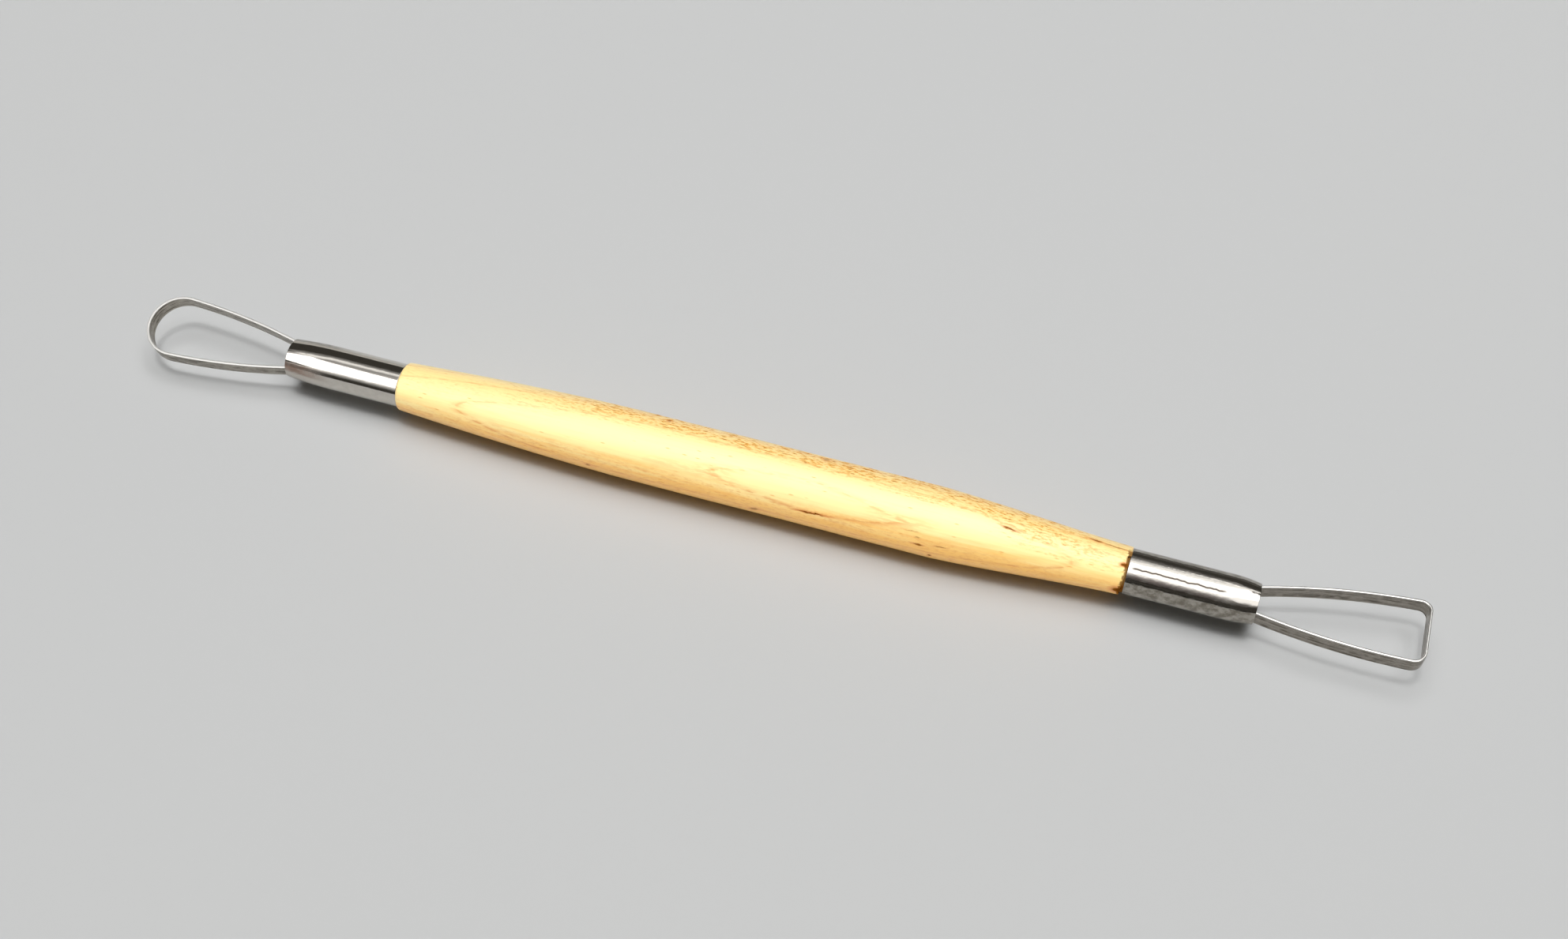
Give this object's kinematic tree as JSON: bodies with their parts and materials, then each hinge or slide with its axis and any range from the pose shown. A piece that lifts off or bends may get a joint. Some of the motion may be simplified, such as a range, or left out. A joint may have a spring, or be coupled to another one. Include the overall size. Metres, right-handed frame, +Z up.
{
  "type": "double-ended ribbon tool",
  "caption": "Hand tool for trimming and carving clay: a turned wooden handle with steel ferrules and a ribbon loop on each end, one teardrop and one square.",
  "frame": {"origin": "middle of the narrow flat under the handle's belly, on which the tool lies, half way along the wood", "axes": "+X along the handle towards the square loop, +Z up, with the square loop flat and leaning a little towards +Y"},
  "size_m": [0.2033, 0.0126, 0.0109],
  "materials": {
    "handle_wood": "turned birch under thin clear lacquer, honey yellow",
    "ferrule_steel": "bright polished steel tube",
    "ribbon_steel": "ground spring steel strip with bright edges",
    "cement": "set epoxy cement, dull brown grey"
  },
  "bodies": {
    "root": {"handle": "handle_wood", "teardrop_ferrule": "ferrule_steel", "square_ferrule": "ferrule_steel", "teardrop_ribbon": "ribbon_steel", "square_ribbon": "ribbon_steel", "teardrop_bond": "cement", "square_bond": "cement"}
  },
  "joints": []
}
